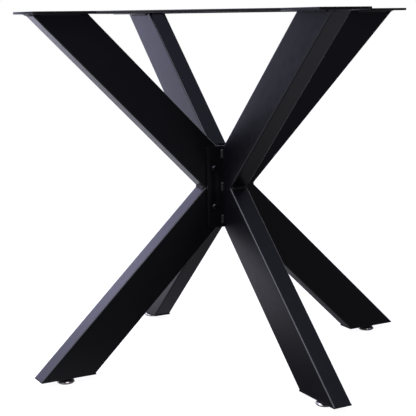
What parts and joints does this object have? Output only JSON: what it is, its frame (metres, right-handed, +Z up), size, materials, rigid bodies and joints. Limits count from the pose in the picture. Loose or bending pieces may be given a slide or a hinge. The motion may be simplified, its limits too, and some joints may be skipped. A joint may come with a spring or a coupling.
{
  "type": "four star table base",
  "caption": "Black steel table base with V-shaped tube legs bolted back to back at the waist, screw plates with flat rails on top and levelling glides below.",
  "frame": {"origin": "on the floor, under the middle of the hub", "axes": "+Z up; the legs stand at 45, 135, 225 and 315 degrees from +X, and the rails lie along X and Y"},
  "size_m": [0.6844, 0.6844, 0.73],
  "materials": {
    "powder_coated_steel": "satin black powder coat",
    "zinc_plated_steel": "bright zinc plating",
    "nickel_plated_steel": "polished nickel plating on pressed sheet",
    "nylon_sole": "moulded brown nylon",
    "black_plated_screws": "black plating, slightly glossy",
    "weld_bead": "weld bead under the powder coat"
  },
  "bodies": {
    "root": {"upper_tube_1": "powder_coated_steel", "lower_tube_1": "powder_coated_steel", "hub_plate_1": "powder_coated_steel", "top_plate_1": "powder_coated_steel", "top_rail_1": "powder_coated_steel", "foot_cap_1": "powder_coated_steel", "foot_nut_1": "zinc_plated_steel", "foot_stud_1": "zinc_plated_steel", "foot_pad_1": "nickel_plated_steel", "foot_sole_1": "nylon_sole", "upper_tube_2": "powder_coated_steel", "lower_tube_2": "powder_coated_steel", "hub_plate_2": "powder_coated_steel", "top_plate_2": "powder_coated_steel", "top_rail_2": "powder_coated_steel", "foot_cap_2": "powder_coated_steel", "foot_nut_2": "zinc_plated_steel", "foot_stud_2": "zinc_plated_steel", "foot_pad_2": "nickel_plated_steel", "foot_sole_2": "nylon_sole", "upper_tube_3": "powder_coated_steel", "lower_tube_3": "powder_coated_steel", "hub_plate_3": "powder_coated_steel", "top_plate_3": "powder_coated_steel", "top_rail_3": "powder_coated_steel", "foot_cap_3": "powder_coated_steel", "foot_nut_3": "zinc_plated_steel", "foot_stud_3": "zinc_plated_steel", "foot_pad_3": "nickel_plated_steel", "foot_sole_3": "nylon_sole", "upper_tube_4": "powder_coated_steel", "lower_tube_4": "powder_coated_steel", "hub_plate_4": "powder_coated_steel", "top_plate_4": "powder_coated_steel", "top_rail_4": "powder_coated_steel", "foot_cap_4": "powder_coated_steel", "foot_nut_4": "zinc_plated_steel", "foot_stud_4": "zinc_plated_steel", "foot_pad_4": "nickel_plated_steel", "foot_sole_4": "nylon_sole", "hub_bolts": "black_plated_screws", "hub_nuts": "zinc_plated_steel", "hub_welds": "weld_bead", "waist_welds": "weld_bead", "top_welds": "weld_bead"}
  },
  "joints": []
}
